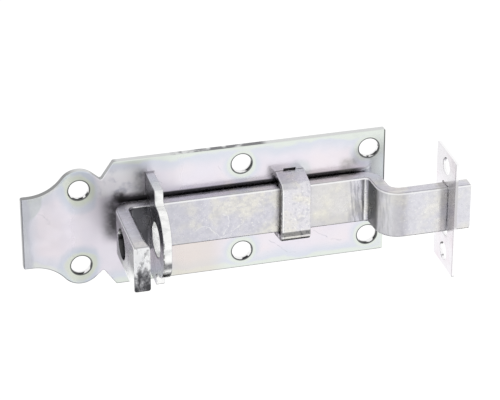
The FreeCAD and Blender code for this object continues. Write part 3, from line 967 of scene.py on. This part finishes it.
        def off_rim(vertex):
            from_axis = math.hypot(vertex.co.y - PADLOCK_HOLE_Y * MM, vertex.co.z)
            return abs(from_axis - diameter / 2 * MM)

        def on_rim(edge):
            start, end = edge.verts
            flat = abs(start.co.x - end.co.x) < 0.01 * MM
            return flat and max(off_rim(start), off_rim(end)) < 0.02 * MM

        bpy.ops.object.mode_set(mode="EDIT")
        pick_edges(piece, on_rim)
        bpy.ops.mesh.bevel(offset=CHAMFER * MM, segments=2, affect="EDGES")
        bpy.ops.object.mode_set(mode="OBJECT")


class SLIDEBOLT_OT_base_plate(bpy.types.Operator):
    """Dresses the base plate in bright zinc-plated sheet"""

    bl_idname = "slidebolt.base_plate"
    bl_label = "Base plate"

    def execute(self, context):
        dress("base_plate", bright_zinc_plated_sheet(context.scene.slide_bolt))
        return {"FINISHED"}


class SLIDEBOLT_OT_padlock_lug(bpy.types.Operator):
    """Dresses the padlock lug as a torn-edged stamping"""

    bl_idname = "slidebolt.padlock_lug"
    bl_label = "Padlock lug"

    def execute(self, context):
        dress("padlock_lug", zinc_plated_stamping(context.scene.slide_bolt))
        return {"FINISHED"}


class SLIDEBOLT_OT_guide_staple(bpy.types.Operator):
    """Dresses the guide staple in fine-grained band steel"""

    bl_idname = "slidebolt.guide_staple"
    bl_label = "Guide staple"

    def execute(self, context):
        dress("guide_staple", zinc_plated_band(context.scene.slide_bolt))
        return {"FINISHED"}


class SLIDEBOLT_OT_strike_plate(bpy.types.Operator):
    """Dresses the strike plate in smooth thin sheet"""

    bl_idname = "slidebolt.strike_plate"
    bl_label = "Strike plate"

    def execute(self, context):
        dress("strike_plate", smooth_zinc_plated_sheet(context.scene.slide_bolt))
        return {"FINISHED"}


class SLIDEBOLT_OT_stage(bpy.types.Operator):
    """Sets the floor, the white room with its two dark cards, and the camera"""

    bl_idname = "slidebolt.stage"
    bl_label = "Stage"

    def execute(self, context):
        stage = context.scene.slide_bolt_stage
        context.scene.view_settings.view_transform = "Standard"
        self.room(context, stage)
        self.floor(context, stage)
        for name, place, size, turn in (
            ("card_front_left", (-0.075, -0.2, -0.07), (0.07, 0.09), (math.pi / 2, 0, 0)),
            ("card_below", (0.0, 0.02, -0.2), (0.4, 0.16), (0, 0, 0)),
        ):
            self.card(context, name, place, size, turn)
        self.camera(context, stage)
        return {"FINISHED"}

    def room(self, context, stage):
        """White for the camera and for reflections, and a plain level for all other light."""
        world = bpy.data.worlds.new("white_room")
        context.scene.world = world
        world.use_nodes = True
        tree = world.node_tree
        tree.nodes.clear()
        path = add(tree, "ShaderNodeLightPath").outputs
        rays = ("Is Camera Ray", "Is Glossy Ray", "Is Transmission Ray")
        seen = either(tree, *(path[ray] for ray in rays))
        strength = ranged(tree, seen, 0.8, stage.room_light)
        back = add(tree, "ShaderNodeBackground", {"Color": (1, 1, 1, 1), "Strength": strength})
        add(tree, "ShaderNodeOutputWorld", {"Surface": back.outputs[0]})

    def floor(self, context, stage):
        """The plain white floor."""
        start_piece()
        drop = PLATE_BOX[0].z - stage.floor_drop
        bpy.ops.mesh.primitive_plane_add(size=8.0, location=(0, 0, drop))
        floor = context.object
        floor.name = "floor"
        material = bpy.data.materials.new("white_paper_floor")
        material.use_nodes = True
        tree = material.node_tree
        tree.nodes.clear()
        paper = add(tree, "ShaderNodeBsdfDiffuse", {"Color": linear("#F4F4F4")}).outputs[0]
        path = add(tree, "ShaderNodeLightPath").outputs
        seen = either(tree, path["Is Camera Ray"], path["Is Glossy Ray"])
        lift = add(tree, "ShaderNodeEmission", {"Strength": overlap(tree, seen, 0.35)}).outputs[0]
        both = add(tree, "ShaderNodeAddShader", {0: paper, 1: lift}).outputs[0]
        add(tree, "ShaderNodeOutputMaterial", {"Surface": both})
        floor.data.materials.append(material)

    def card(self, context, name, place, size, turn):
        """A dark card that only reflections see: it gives left faces and bends their grey."""
        start_piece()
        bpy.ops.mesh.primitive_plane_add(size=1.0, location=place)
        card = context.object
        card.name = name
        card.scale = (size[0], size[1], 1)
        card.rotation_euler = turn
        material = bpy.data.materials.new("black_card")
        material.use_nodes = True
        shader = material.node_tree.nodes["Principled BSDF"]
        shader.inputs["Base Color"].default_value = linear("#0E0E10")
        shader.inputs["Roughness"].default_value = 0.9
        shader.inputs["Specular IOR Level"].default_value = 0.1
        card.data.materials.append(material)
        card.visible_camera = False
        card.visible_shadow = False
        card.visible_diffuse = False

    def camera(self, context, stage):
        """The camera at the photograph's angle."""
        data = bpy.data.cameras.new("camera")
        data.lens = stage.lens
        data.sensor_width = 36.0
        data.clip_start = 0.01
        data.clip_end = 50.0
        camera = bpy.data.objects.new("camera", data)
        context.scene.collection.objects.link(camera)
        camera.location = stage.place
        camera.rotation_euler = (math.pi / 2 - stage.pitch, 0, -stage.yaw)
        context.scene.camera = camera


class SLIDEBOLT_PT_panel(bpy.types.Panel):
    """Lists the sizes, colours and steps"""

    bl_idname = "SLIDEBOLT_PT_panel"
    bl_label = "Slide bolt"
    bl_space_type = "VIEW_3D"
    bl_region_type = "UI"
    bl_category = "Slide bolt"

    def draw(self, context):
        column = self.layout.column()
        for group in (context.scene.slide_bolt, context.scene.slide_bolt_stage):
            for name in group.__annotations__:
                column.prop(group, name)
        for operator in OPERATORS:
            column.operator(operator.bl_idname)


OPERATORS = (
    SLIDEBOLT_OT_bolt,
    SLIDEBOLT_OT_base_plate,
    SLIDEBOLT_OT_padlock_lug,
    SLIDEBOLT_OT_guide_staple,
    SLIDEBOLT_OT_strike_plate,
    SLIDEBOLT_OT_stage,
)
CLASSES = (BoltLooks, StageLooks) + OPERATORS + (SLIDEBOLT_PT_panel,)


def register():
    for item in CLASSES:
        bpy.utils.register_class(item)
    bpy.types.Scene.slide_bolt = PointerProperty(type=BoltLooks)
    bpy.types.Scene.slide_bolt_stage = PointerProperty(type=StageLooks)


def unregister():
    del bpy.types.Scene.slide_bolt_stage
    del bpy.types.Scene.slide_bolt
    for item in reversed(CLASSES):
        bpy.utils.unregister_class(item)


def main():
    register()
    bpy.ops.slidebolt.bolt()
    bpy.ops.slidebolt.base_plate()
    bpy.ops.slidebolt.padlock_lug()
    bpy.ops.slidebolt.guide_staple()
    bpy.ops.slidebolt.strike_plate()
    bpy.ops.slidebolt.stage()


if __name__ == "__main__":
    main()
